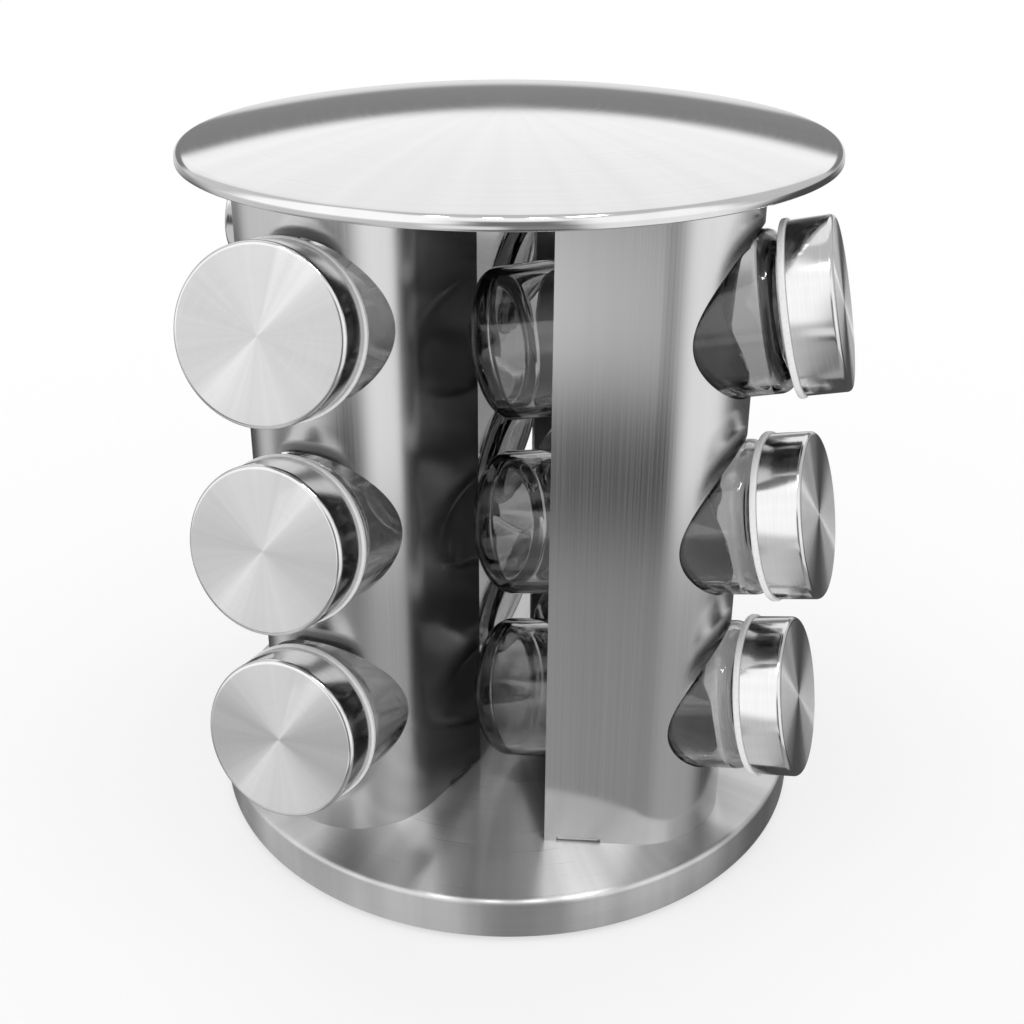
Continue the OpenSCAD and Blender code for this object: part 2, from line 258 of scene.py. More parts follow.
def face_ahead():
    """Distance along a jar's axis from the pinch of its hole to the cap's face."""
    reach = NOSE_REACH + PINCH_X - (wing_edge_y() - COLUMN_OFFSET) - STOP_GAP
    corner_reach = reach - JAR_FOOT_R - (JAR_R - JAR_FOOT_R) * math.sin(JAR_TILT)
    return JAR_LEN - JAR_FOOT_R - corner_reach / math.cos(JAR_TILT)


def hole_place(row, turn):
    """Matrix on a seat hole's axis in the column's frame, turned sideways: Z out along the axis."""
    lift = seat_height(row) + PINCH_X * math.tan(JAR_TILT)
    place = Matrix.Translation(Vector((PINCH_X, 0, lift)) * MM) @ Matrix.Rotation(turn, 4, "Z")
    return place @ Matrix.Rotation(math.pi / 2 - JAR_TILT, 4, "Y")


def jar_place(side, row):
    """Matrix of a jar's frame: origin in the middle of its cap's face, Z out along its axis."""
    place = column_place(side) @ hole_place(row, ROW_TURNS[row])
    return place @ Matrix.Translation(Vector((SEAT_DROP, 0, face_ahead())) * MM)


# Materials


def new_material(name):
    """Node material with a Principled shader; returns it, its nodes, its links and the shader."""
    material = bpy.data.materials.new(name)
    material.use_nodes = True
    nodes = material.node_tree.nodes
    links = material.node_tree.links
    nodes.clear()
    shader = nodes.new("ShaderNodeBsdfPrincipled")
    output = nodes.new("ShaderNodeOutputMaterial")
    links.new(shader.outputs["BSDF"], output.inputs["Surface"])
    return material, nodes, links, shader


def own_coordinates(nodes):
    """Coordinates in the piece's own frame."""
    return nodes.new("ShaderNodeTexCoord").outputs["Object"]


def add_noise(nodes, links, vector, scale, detail):
    """Noise on some coordinates, of a scale and a fineness."""
    noise = nodes.new("ShaderNodeTexNoise")
    noise.inputs["Scale"].default_value = scale
    noise.inputs["Detail"].default_value = detail
    links.new(vector, noise.inputs["Vector"])
    return noise


def vector_node(nodes, links, operation, vector):
    """Vector Math node that works on one linked vector."""
    node = nodes.new("ShaderNodeVectorMath")
    node.operation = operation
    links.new(vector, node.inputs[0])
    return node


def scaled(nodes, links, value, factor):
    """A linked value times a number."""
    node = nodes.new("ShaderNodeMath")
    node.operation = "MULTIPLY"
    node.inputs[1].default_value = factor
    links.new(value, node.inputs[0])
    return node.outputs["Value"]


def combined(nodes, links, operation, first, second):
    """A linked value joined to another by a Math operation."""
    node = nodes.new("ShaderNodeMath")
    node.operation = operation
    links.new(first, node.inputs[0])
    links.new(second, node.inputs[1])
    return node.outputs["Value"]


def link_grey(nodes, links, level, socket):
    """Feed a colour socket with one level in all three channels."""
    tint = nodes.new("ShaderNodeCombineColor")
    for channel in ("Red", "Green", "Blue"):
        links.new(level, tint.inputs[channel])
    links.new(tint.outputs["Color"], socket)


def add_relief(nodes, links, shader, height, strength, depth):
    """Bump the shader's normal with a height, whose full range is a depth in metres."""
    relief = nodes.new("ShaderNodeBump")
    relief.inputs["Strength"].default_value = strength
    relief.inputs["Distance"].default_value = depth
    links.new(height, relief.inputs["Height"])
    links.new(relief.outputs["Normal"], shader.inputs["Normal"])


def grain_vector(nodes, links, kind, along, across):
    """Coordinates stretched along the brushing: straight up and down, or round the Z axis."""
    where = own_coordinates(nodes)
    if kind == "upright":
        mapping = nodes.new("ShaderNodeMapping")
        mapping.inputs["Scale"].default_value = (across, across, along)
        links.new(where, mapping.inputs["Vector"])
        return mapping.outputs["Vector"]
    split = nodes.new("ShaderNodeSeparateXYZ")
    links.new(where, split.inputs["Vector"])
    flat = nodes.new("ShaderNodeCombineXYZ")
    links.new(split.outputs["X"], flat.inputs["X"])
    links.new(split.outputs["Y"], flat.inputs["Y"])
    radius = vector_node(nodes, links, "LENGTH", flat.outputs["Vector"])
    unit = vector_node(nodes, links, "NORMALIZE", flat.outputs["Vector"])
    turned = vector_node(nodes, links, "SCALE", unit.outputs["Vector"])
    turned.inputs["Scale"].default_value = along
    turned_split = nodes.new("ShaderNodeSeparateXYZ")
    links.new(turned.outputs["Vector"], turned_split.inputs["Vector"])
    depth = combined(nodes, links, "ADD", radius.outputs["Value"], split.outputs["Z"])
    joined = nodes.new("ShaderNodeCombineXYZ")
    links.new(turned_split.outputs["X"], joined.inputs["X"])
    links.new(turned_split.outputs["Y"], joined.inputs["Y"])
    links.new(scaled(nodes, links, depth, across), joined.inputs["Z"])
    return joined.outputs["Vector"]


# The values that nearly all of a noise lies between.
NOISE_LOW = 0.3
NOISE_HIGH = 0.7


def ranged(nodes, links, value, low, high):
    """Map a noise value to a range."""
    node = nodes.new("ShaderNodeMapRange")
    node.inputs["From Min"].default_value = NOISE_LOW
    node.inputs["From Max"].default_value = NOISE_HIGH
    node.inputs["To Min"].default_value = low
    node.inputs["To Max"].default_value = high
    links.new(value, node.inputs["Value"])
    return node.outputs["Result"]


# How fast the fine grooves change along the brushing, and how fast the broad soft streaks change
# along it and across it, per metre; round grain counts along it per radian.
FINE_ALONG = {"upright": 6.0, "round": 1.2}
BROAD_GRAIN = {"upright": (1.5, 90.0), "round": (9.0, 0.0)}
GRAIN_ROTATION = {"upright": 0.0, "round": 0.25}
FINE_DETAIL = 4.0
FINE_ROUGHNESS = 0.7
BROAD_DETAIL = 3.0
SKIN_DEPTH = 0.05 * MM


def brushed_steel(name, kind, tone, roughness, anisotropy, grain, bump, spread, streaks):
    """Steel with fine grooves, upright or round the Z axis, that stretch each highlight across them.

    The roughness changes by the spread, and the tone by its share, from groove to groove. The tone also
    changes broadly, by the streaks' share: round the Z axis they are a painted sheen, a fan of light and
    dark along the radii, and upright they are soft upright bands in the tone.
    """
    material, nodes, links, shader = new_material(name)
    shader.inputs["Metallic"].default_value = 1.0
    shader.inputs["Anisotropic"].default_value = anisotropy
    shader.inputs["Anisotropic Rotation"].default_value = GRAIN_ROTATION[kind]
    tangent = nodes.new("ShaderNodeTangent")
    tangent.direction_type = "RADIAL"
    tangent.axis = "Z"
    links.new(tangent.outputs["Tangent"], shader.inputs["Tangent"])
    fine_vector = grain_vector(nodes, links, kind, FINE_ALONG[kind], grain)
    fine_noise = add_noise(nodes, links, fine_vector, 1.0, FINE_DETAIL)
    fine_noise.inputs["Roughness"].default_value = FINE_ROUGHNESS
    fine = fine_noise.outputs["Fac"]
    groove_roughness = ranged(nodes, links, fine, roughness - spread, roughness + spread)
    links.new(groove_roughness, shader.inputs["Roughness"])
    broad_vector = grain_vector(nodes, links, kind, *BROAD_GRAIN[kind])
    broad = add_noise(nodes, links, broad_vector, 1.0, BROAD_DETAIL).outputs["Fac"]
    groove_tone = ranged(nodes, links, fine, tone * (1 - spread), tone * (1 + spread))
    # Broad streaks in the tone; round the Z axis they are a painted sheen of light and dark along the
    # radii.
    streak_and_sheen_share = ranged(nodes, links, broad, 1 - streaks, 1 + streaks)
    shade = combined(nodes, links, "MULTIPLY", groove_tone, streak_and_sheen_share)
    link_grey(nodes, links, shade, shader.inputs["Base Color"])
    add_relief(nodes, links, shader, fine, bump, SKIN_DEPTH)
    return material


BLOTCH_SCALE = 260.0
BLOTCH_DETAIL = 5.0
BLOTCH_ROUGHNESS = 0.08
BLOTCH_DARKEST = 0.9
BLOTCH_LIGHTEST = 1.08


def plain_steel(name, tone, roughness):
    """Rolled or stamped steel with faint blotches, for the pieces inside and below."""
    material, nodes, links, shader = new_material(name)
    shader.inputs["Metallic"].default_value = 1.0
    blotch = add_noise(nodes, links, own_coordinates(nodes), BLOTCH_SCALE, BLOTCH_DETAIL).outputs["Fac"]
    links.new(ranged(nodes, links, blotch, roughness - BLOTCH_ROUGHNESS, roughness + BLOTCH_ROUGHNESS),
              shader.inputs["Roughness"])
    shade = ranged(nodes, links, blotch, tone * BLOTCH_DARKEST, tone * BLOTCH_LIGHTEST)
    link_grey(nodes, links, shade, shader.inputs["Base Color"])
    return material


GLASS_TONE = 0.93
GLASS_IOR = 1.52
# Light that the glass takes up, per metre of its thickness.
GLASS_DARKENING = 50.0
RIPPLE_SCALE = 90.0
RIPPLE_DETAIL = 1.5
RIPPLE_STRENGTH = 0.12
RIPPLE_DEPTH = 0.4 * MM


def clear_glass():
    """Clear moulded glass with a faint ripple, which darkens where the eye looks along the wall."""
    material, nodes, links, shader = new_material("clear_glass")
    shader.inputs["Base Color"].default_value = (GLASS_TONE, GLASS_TONE, GLASS_TONE, 1)
    shader.inputs["Roughness"].default_value = 0.0
    shader.inputs["IOR"].default_value = GLASS_IOR
    shader.inputs["Transmission Weight"].default_value = 1.0
    ripple = add_noise(nodes, links, own_coordinates(nodes), RIPPLE_SCALE, RIPPLE_DETAIL).outputs["Fac"]
    add_relief(nodes, links, shader, ripple, RIPPLE_STRENGTH, RIPPLE_DEPTH)
    depth = nodes.new("ShaderNodeVolumeAbsorption")
    depth.inputs["Color"].default_value = (0, 0, 0, 1)
    depth.inputs["Density"].default_value = GLASS_DARKENING
    links.new(depth.outputs["Volume"], nodes["Material Output"].inputs["Volume"])
    return material


PEEL_SCALE = 1400.0
PEEL_DETAIL = 2.0
PEEL_ROUGHNESS = 0.05
PEEL_DARKEST = 0.97
PEEL_LIGHTEST = 1.02


def moulded_plastic(name, tone, roughness, bump):
    """Moulded plastic or rubber with a faint orange-peel skin."""
    material, nodes, links, shader = new_material(name)
    peel = add_noise(nodes, links, own_coordinates(nodes), PEEL_SCALE, PEEL_DETAIL).outputs["Fac"]
    links.new(ranged(nodes, links, peel, roughness - PEEL_ROUGHNESS, roughness + PEEL_ROUGHNESS),
              shader.inputs["Roughness"])
    tint = nodes.new("ShaderNodeCombineColor")
    for channel, level in zip(("Red", "Green", "Blue"), tone):
        shade = ranged(nodes, links, peel, level * PEEL_DARKEST, level * PEEL_LIGHTEST)
        links.new(shade, tint.inputs[channel])
    links.new(tint.outputs["Color"], shader.inputs["Base Color"])
    add_relief(nodes, links, shader, peel, bump, SKIN_DEPTH)
    return material


COLUMN_STEEL = brushed_steel("column_steel", "upright", tone=0.6, roughness=0.2, anisotropy=0.85,
                             grain=2600.0, bump=0.012, spread=0.03, streaks=0.03)
LID_STEEL = brushed_steel("lid_steel", "round", tone=0.62, roughness=0.08, anisotropy=0.5,
                          grain=900.0, bump=0.015, spread=0.02, streaks=0.03)
BASE_STEEL = brushed_steel("base_steel", "round", tone=0.52, roughness=0.3, anisotropy=1.0,
                           grain=2200.0, bump=0.015, spread=0.03, streaks=0.12)
CAP_FACE_STEEL = brushed_steel("cap_face_steel", "round", tone=0.64, roughness=0.38, anisotropy=1.0,
                               grain=2200.0, bump=0.015, spread=0.03, streaks=0.03)
CAP_SIDE_STEEL = brushed_steel("cap_side_steel", "round", tone=0.6, roughness=0.14, anisotropy=0.6,
                               grain=1600.0, bump=0.02, spread=0.04, streaks=0.02)
INNER_STEEL = plain_steel("inner_steel", tone=0.45, roughness=0.35)
# Unbrushed steel for the columns' inner faces, whose low tone is painted shade from inside the rack.
SHADED_MILL_STEEL = plain_steel("mill_steel_painted_shade", tone=0.26, roughness=0.4)
BALL_STEEL = plain_steel("ball_steel", tone=0.7, roughness=0.12)
GLASS = clear_glass()
WHITE_PLASTIC = moulded_plastic("white_plastic", tone=(0.86, 0.86, 0.86), roughness=0.3, bump=0.05)
NATURAL_PLASTIC = moulded_plastic("natural_plastic", tone=(0.72, 0.7, 0.62), roughness=0.5, bump=0.1)
BLACK_RUBBER = moulded_plastic("black_rubber", tone=(0.03, 0.03, 0.03), roughness=0.7, bump=0.3)


# Base and lid


def make_base_cover():
    """Drawn cover with a rounded top edge and a rounded lower lip."""
    inner_r = BASE_R - SHEET_T
    outline = [(0, BASE_TOP), (BASE_R * 0.3, BASE_TOP), (BASE_R * 0.7, BASE_TOP)]
    outline += arc((BASE_R - BASE_EDGE_R, BASE_TOP - BASE_EDGE_R), BASE_EDGE_R, 90, 0, 10)
    outline += arc((BASE_R - SHEET_END_R, BASE_LIFT + SHEET_END_R), SHEET_END_R, 0, -90, 4)
    outline += [(inner_r + BASE_LIP_R, BASE_LIFT), (inner_r, BASE_LIFT + BASE_LIP_R)]
    outline += arc((BASE_R - BASE_EDGE_R, BASE_TOP - BASE_EDGE_R), BASE_EDGE_R - SHEET_T, 0, 90, 6)
    outline += [(0, BASE_TOP - SHEET_T)]
    cover = lathe("base_cover_spun", outline, BASE_STEPS)
    paint(cover, BASE_STEEL)
    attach(cover, "rotor")
    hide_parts("base_cover")


def dome_radius(radius, height, rim):
    """Radius of the dome that meets the rim's arc without a corner."""
    rise = height - LID_LIP_H
    return (rise ** 2 + (radius - rim) ** 2 - rim ** 2) / (2 * (rise - rim))


def dome_points(radius, height, rim):
    """Lid outline from the axis over the dome and round the rim to the upright lip."""
    dome = dome_radius(radius, height, rim)
    centre_z = height - dome
    meet = math.degrees(math.atan2(LID_LIP_H - centre_z, radius - rim))
    points = arc((0, centre_z), dome, 90, meet, 40)
    points[0] = (0, height)
    points += arc((radius - rim, LID_LIP_H), rim, meet, 0, 14)[1:]
    return points


def make_lid():
    """Spun lid: a shallow dome, a rounded rim and a hem turned in under the top plate."""
    outline = dome_points(LID_R, LID_H, LID_RIM_R)
    outline += arc((LID_R - SHEET_END_R, SHEET_END_R), SHEET_END_R, 0, -90, 4)
    outline += arc((LID_R - LID_HEM_W + SHEET_T / 2, SHEET_T / 2), SHEET_T / 2, 270, 90, 6)
    outline += [(LID_R - SHEET_T, SHEET_T)]
    outline += dome_points(LID_R - SHEET_T, LID_H - SHEET_T, LID_RIM_R - SHEET_T)[::-1]
    lid = lathe("lid_spun", [(r, z + LID_LOW) for r, z in outline], LID_STEPS)
    paint(lid, LID_STEEL)
    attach(lid, "rotor")
    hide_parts("lid_shell")


# Columns


def column_path(radius, back):
    """Plan points of one face of the sheet, from one free edge round the nose to the other."""
    tangent_x = radius * math.sin(WING_FLARE)
    tangent_y = radius * math.cos(WING_FLARE)
    back_y = tangent_y + (back + tangent_x) * math.tan(WING_FLARE)
    half_turn = 90 - math.degrees(WING_FLARE)
    nose = arc((0, 0), radius, -half_turn, half_turn, NOSE_STEPS)
    return [(-back, -back_y)] + nose + [(-back, back_y)]


def column_blank():
    """Bent sheet with no holes yet, standing on the base's top face."""
    outer = column_path(NOSE_R, WING_LEN)
    inner = column_path(NOSE_R - COLUMN_T, WING_LEN)
    mesh_data = bmesh.new()
    rings = []
    for height in (BASE_TOP, COLUMN_TOP):
        ring = [mesh_data.verts.new((x * MM, y * MM, height * MM)) for x, y in outer + inner[::-1]]
        rings.append(ring)
    count = len(rings[0])
    half = len(outer)
    for i in range(count):
        j = (i + 1) % count
        mesh_data.faces.new((rings[0][i], rings[0][j], rings[1][j], rings[1][i]))
    for ring in rings:
        for i in range(half - 1):
            mesh_data.faces.new((ring[i], ring[i + 1], ring[count - 2 - i], ring[count - 1 - i]))
    return finish_mesh("column_sheet", mesh_data, SHEET_SHARP)


def wing_place(hand):
    """Matrix of a wing's frame at its free edge: X back towards the nose, Y out of the wing."""
    place = Matrix.Translation(Vector((-WING_LEN, wing_edge_y(), 0)) * MM)
    place = place @ Matrix.Rotation(-WING_FLARE, 4, "Z")
    flip = Matrix.Scale(-1, 4, Vector((0, 1, 0))) if hand < 0 else Matrix.Identity(4)
    return flip @ place


def end_places():
    """Matrices of a column's four tab places, in each wing at its foot and at its head."""
    foot = Matrix.Translation(Vector((0, 0, BASE_TOP * MM)))
    head = Matrix.Translation(Vector((0, 0, COLUMN_TOP * MM))) @ Matrix.Scale(-1, 4, Vector((0, 0, 1)))
    return [end @ wing_place(hand) for hand in (-1, 1) for end in (foot, head)]


def add_tab(mesh_data, place):
    """Tab folded in through a quarter bend, swept along its width."""
    start = TAB_EDGE_GAP
    end = TAB_EDGE_GAP + TAB_W
    outer = arc((-TAB_BEND_R, TAB_BEND_R), TAB_BEND_R, 0, -90, 8)
    inner = arc((-TAB_BEND_R, TAB_BEND_R), TAB_BEND_R - COLUMN_T, 0, -90, 8)
    profile = [(0, TAB_BEND_R + TAB_OVERLAP)] + outer
    profile += [(-TAB_LEN + TAB_CHAMFER, 0), (-TAB_LEN, TAB_CHAMFER)]
    profile += [(-TAB_LEN, COLUMN_T - TAB_CHAMFER), (-TAB_LEN + TAB_CHAMFER, COLUMN_T)]
    profile += inner[::-1] + [(-COLUMN_T, TAB_BEND_R + TAB_OVERLAP)]
    rings = []
    for x in (start, end):
        rings.append([mesh_data.verts.new(place @ (Vector((x, y, z)) * MM)) for y, z in profile])
    count = len(profile)
    for i in range(count):
        j = (i + 1) % count
        mesh_data.faces.new((rings[0][i], rings[0][j], rings[1][j], rings[1][i]))
    for ring in rings:
        mesh_data.faces.new(ring)


def hole_cutter(row):
    """Temporary tilted cylinder for one seat hole."""
    outline = [(0, -NOSE_R), (HOLE_R, -NOSE_R), (HOLE_R, NOSE_R), (0, NOSE_R)]
    cutter = lathe("cutter", outline, HOLE_STEPS)
    cutter.matrix_world = hole_place(row, 0)
    return cutter


def make_columns():
    """Four columns that share one mesh: bent sheet, seat holes, tab reliefs, tabs and rounded edges."""
    sheet = column_blank()
    cutters = [hole_cutter(row) for row in range(len(ROWS))]
    for place in end_places():
        cutter = box_cutter((TAB_EDGE_GAP - TAB_RELIEF, -2 * COLUMN_T, -1),
                            (TAB_EDGE_GAP + TAB_W + TAB_RELIEF, 2 * COLUMN_T, TAB_BEND_R))
        cutter.matrix_world = place
        cutters.append(cutter)
    cut(sheet, cutters)
    bevel = sheet.modifiers.new("edge", "BEVEL")
    bevel.width = EDGE_ROUND * MM
    bevel.segments = 2
    bevel.limit_method = "ANGLE"
    bevel.angle_limit = math.radians(40)
    apply_modifiers(sheet)
    mesh_data = bmesh.new()
    mesh_data.from_mesh(sheet.data)
    for place in end_places():
        add_tab(mesh_data, place)
    mesh_data.normal_update()
    mesh_data.to_mesh(sheet.data)
    mesh_data.free()
    smooth_column(sheet.data)
    paint(sheet, COLUMN_STEEL, SHADED_MILL_STEEL)
    set_faces(sheet, 1, inside_column)
    for side, side_name in enumerate(SIDES):
        piece = sheet if side == 0 else bpy.data.objects.new("column", sheet.data)
        piece.name = f"column_bent_{side_name}"
        if side:
            bpy.context.scene.collection.objects.link(piece)
        piece.matrix_world = column_place(side)
        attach(piece, "rotor")
        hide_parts(f"column_{side_name}")


def inside_column(centre, normal):
    """Whether a column's face looks in at the jars, where the sheet is unbrushed and painted darker with
    the shade inside the rack.
    """
    if centre.x > NOSE_FROM_X:
        outward = Vector((centre.x, centre.y, 0)).normalized()
    else:
        outward = Vector((math.sin(WING_FLARE), math.copysign(math.cos(WING_FLARE), centre.y), 0))
    facing_in = -0.5
    return normal.dot(outward) < facing_in


def smooth_column(mesh):
    """Shade the nose as a true round: normals on it point straight away from its axis."""
    slack = 0.02
    nose_start = NOSE_FROM_X - 0.5
    steepest = 0.9
    normals = []
    for polygon in mesh.polygons:
        polygon.use_smooth = True
    mesh.set_sharp_from_angle(angle=math.radians(BENT_SHARP))
    for polygon in mesh.polygons:
        upright = abs(polygon.normal.z) < steepest
        for vertex_index in polygon.vertices:
            co = mesh.vertices[vertex_index].co / MM
            around = math.hypot(co.x, co.y)
            on_nose = upright and co.x > nose_start
            if on_nose and abs(around - NOSE_R) < slack:
                normals.append(Vector((co.x, co.y, 0)).normalized())
            elif on_nose and abs(around - NOSE_R + COLUMN_T) < slack:
                normals.append(-Vector((co.x, co.y, 0)).normalized())
            else:
                normals.append(polygon.normal.copy())
    mesh.normals_split_custom_set(normals)


# Jars, liners and caps, drawn back from the cap's face along -Z


def jar_outline():
    """Outline of the glass, outside from the foot to the mouth and back down inside."""
    neck_len = NECK_BACK - MOUTH_BACK
    outline = [(0, -JAR_LEN), (JAR_R * 0.4, -JAR_LEN)]
    outline += arc((JAR_R - JAR_FOOT_R, -JAR_LEN + JAR_FOOT_R), JAR_FOOT_R, -90, 0, 14)
    meet = math.degrees(math.acos((NECK_R - JAR_R + JAR_SHOULDER_R) / JAR_SHOULDER_R))
    outline += arc((JAR_R - JAR_SHOULDER_R, -NECK_BACK - JAR_SHOULDER_R), JAR_SHOULDER_R, 0, meet, 10)
    for share in BEAD_SHARES:
        top = -MOUTH_BACK - neck_len * share
        outline += arc((NECK_R, top - BEAD_H / 2), BEAD_PROUD, -80, 80, 8)
    lip_z = -MOUTH_BACK - MOUTH_EDGE_R
    outline += arc((NECK_R - MOUTH_EDGE_R, lip_z), MOUTH_EDGE_R, 0, 90, 4)
    outline += arc((NECK_R - NECK_WALL + MOUTH_EDGE_R, lip_z), MOUTH_EDGE_R, 90, 180, 4)
    inner_r = JAR_R - JAR_WALL
    corner = JAR_FOOT_R - JAR_WALL
    top = -NECK_BACK - JAR_WALL
    bore_meet = math.degrees(math.acos((NECK_R - NECK_WALL - inner_r + JAR_SHOULDER_R) / JAR_SHOULDER_R))
    outline += arc((inner_r - JAR_SHOULDER_R, top - JAR_SHOULDER_R), JAR_SHOULDER_R, bore_meet, 0, 10)
    outline += arc((inner_r - corner, -JAR_LEN + JAR_FOOT_T + corner), corner, 0, -90, 10)
    outline += [(0, -JAR_LEN + JAR_FOOT_T)]
    return outline


def liner_outline():
    """Outline of the white liner: top, skirt with a grip bead, and a proud collar at the back."""
    low = -CAP_H
    shelf = low + COLLAR_T
    grip = -MOUTH_BACK - (NECK_BACK - MOUTH_BACK) * GRIP_BEAD_SHARE - BEAD_H / 2
    outline = [(0, -LINER_BACK), (LINER_R - LINER_EDGE_R, -LINER_BACK)]
    outline += arc((LINER_R - LINER_EDGE_R, -LINER_BACK - LINER_EDGE_R), LINER_EDGE_R, 80, 0, 4)
    outline += [(LINER_R, shelf)]
    outline += arc((COLLAR_R - LINER_EDGE_R, shelf - LINER_EDGE_R), LINER_EDGE_R, 90, 0, 6)
    outline += arc((COLLAR_R - LINER_EDGE_R, low + LINER_EDGE_R), LINER_EDGE_R, 0, -90, 6)
    outline += [(LINER_BORE_R + LINER_CHAMFER, low), (LINER_BORE_R, low + LINER_CHAMFER)]
    outline += arc((LINER_BORE_R, grip), GRIP_BEAD_R, 270, 90, 8)
    outline += [(LINER_BORE_R, -LINER_BACK - LINER_TOP_T), (0, -LINER_BACK - LINER_TOP_T)]
    return outline


def cap_outline():
    """Outline of the steel shell: flat face, rounded edge, straight side and a turned end."""
    end = -CAP_H + COLLAR_T
    outline = [(0, 0), (CAP_R * 0.35, 0), (CAP_R * 0.7, 0)]
    outline += arc((CAP_R - CAP_EDGE_R, -CAP_EDGE_R), CAP_EDGE_R, 90, 0, 10)
    outline += arc((CAP_R - CAP_T / 2, end + CAP_T / 2), CAP_T / 2, 0, -180, 6)
    outline += arc((CAP_R - CAP_EDGE_R, -CAP_EDGE_R), CAP_EDGE_R - CAP_T, 0, 90, 6)
    outline += [(0, -CAP_T)]
    return outline


def set_faces(piece, material_index, test):
    """Give one of a piece's materials to the faces that pass a test on their centre and normal."""
    for polygon in piece.data.polygons:
        if test(polygon.center / MM, polygon.normal):
            polygon.material_index = material_index


def on_cap_face(centre, normal):
    """Whether a cap's face looks straight ahead."""
    straight_ahead = 0.99
    return normal.z > straight_ahead


def make_jars():
    """Twelve jars, liners and cap shells, each kind sharing one mesh."""
    glass = lathe("jar_glass", jar_outline(), JAR_STEPS)
    paint(glass, GLASS)
    liner = lathe("liner_white", liner_outline(), JAR_STEPS)
    paint(liner, WHITE_PLASTIC)
    cap = lathe("cap_spun", cap_outline(), CAP_STEPS)
    paint(cap, CAP_SIDE_STEEL, CAP_FACE_STEEL)
    set_faces(cap, 1, on_cap_face)
    kinds = [(glass, "jar", "jar", "clear_glass"), (liner, "liner", "cap", "white_plastic"),
             (cap, "cap", "cap", "polished_steel")]
    for first, node_kind, body_kind, slot in kinds:
        for side, side_name in enumerate(SIDES):
            for row, row_name in enumerate(ROWS):
                piece = bpy.data.objects.new(f"{node_kind}_look_{side_name}_{row_name}", first.data)
                bpy.context.scene.collection.objects.link(piece)
                piece.matrix_world = jar_place(side, row)
                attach(piece, f"{body_kind}_{side_name}_{row_name}")
                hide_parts(f"{node_kind}_{side_name}_{row_name}")
        bpy.data.objects.remove(first)


def dress_frame_nodes():
    """Materials for the frame's own nodes that stay in view."""
    steel_nodes = ["foot_plate", "lower_race", "upper_race", "turntable_plate", "pivot_pin", "pivot_clip",
                   "plate_studs", "plate_spacers", "plate_nuts", "base_rivets", "top_plate", "top_rivets"]
    for name in steel_nodes:
        paint(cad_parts[name], INNER_STEEL)
    paint(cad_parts["bearing_balls"], BALL_STEEL)
    paint(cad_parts["ball_cage"], NATURAL_PLASTIC)
    paint(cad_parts["foot_pads"], BLACK_RUBBER)


# Studio


def step(value, low, high):
    """Smooth rise from 0 to 1 between two values."""
    share = min(1, max(0, (value - low) / (high - low)))
    return share * share * (3 - 2 * share)


# Cards and cloths of the studio tent, seen from the rack: middle azimuth, half width, softness of
# the sides, lowest and highest elevation, softness of the ends, and brightness, with angles in
# degrees. Azimuth 0 is towards the camera and 90 to the picture's right; later ones hang in front.
# The tent is a painted reflection of the room: windows and walls above, and below a table with painted
# pools of light and painted shadows on it.
TENT_CARDS = {
    "table_left": (-75, 58, 22, -90, -1, 4, 0.84),
    "table_left_back": (-142, 20, 12, -90, -4, 4, 0.42),
    "table_left_shade": (-68, 20, 8, -35, -21, 3, 0.12),
    "table_right": (62, 39, 12, -29, -1, 5, 1.2),
    "table_right_near": (52, 34, 16, -90, -30, 5, 0.5),
    # Painted shadow on the table in front of the rack.
    "table_front": (5, 20, 9, -28, -21, 2.5, 0.05),
    "table_front_far": (-14, 13, 5, -21, -11, 2.5, 1.15),
    "table_front_gap": (12, 9, 5, -21, -8, 2.5, 0.35),
    "table_back": (165, 75, 18, -90, -13, 4, 0.06),
    "table_right_back": (128, 34, 18, -90, -3, 4, 0.1),
    "table_behind": (180, 36, 14, -11, 1, 3, 0.85),
    "window_left": (-60, 42, 12, -6, 64, 7, 1.55),
    "wall_left": (-122, 24, 12, 1, 70, 4, 0.85),
    "window_right": (50, 27, 9, -7, 50, 6, 1.42),
    "camera_side": (3, 15, 7, -12, 27, 6, 0.25),
    "over_camera": (0, 24, 8, 34, 66, 6, 1.4),
    "window_behind": (180, 48, 5, 15, 72, 1.2, 1.25),
    "sill_behind": (178, 46, 5, 2, 14.5, 1.2, 0.27),
}
# The cloth of the tent above and below the horizon, where one shades into the other.
WALL_LEVEL = 0.78
TABLE_LEVEL = 0.3
TABLE_END = -5
WALL_START = 3
# Share of plain white that glass sees in the tent.
GLASS_OWN_WHITE = 0.35
# Share of the floor's white that the object's shadow leaves alone, in the camera's eyes.
FLOOR_OWN_WHITE = 0.6

# The studio's own sizes are in metres.
TENT_R = 4.0
TENT_Z = 0.11
TENT_TURN_STEPS = 240
TENT_RISE_STEPS = 180
FLOOR_R = 6.0
FLOOR_STEPS = 96


def tent_light(azimuth, elevation):
    """Brightness of the studio tent, by direction from the rack."""
    light = TABLE_LEVEL + (WALL_LEVEL - TABLE_LEVEL) * step(elevation, TABLE_END, WALL_START)
    for middle, half_width, soft, low, high, end_soft, level in TENT_CARDS.values():
        apart = abs((azimuth - middle + 180) % 360 - 180)
        cover = 1 - step(apart, half_width - soft, half_width + soft)
        cover *= step(elevation, low - end_soft, low + end_soft)
        cover *= 1 - step(elevation, high - end_soft, high + end_soft)
        light += (level - light) * cover
    return light


def ray_share(nodes, links, ray_kind, share):
    """Value that is a share for one kind of ray and 0 for the others."""
    ray = nodes.new("ShaderNodeLightPath")
    return scaled(nodes, links, ray.outputs[ray_kind], share)


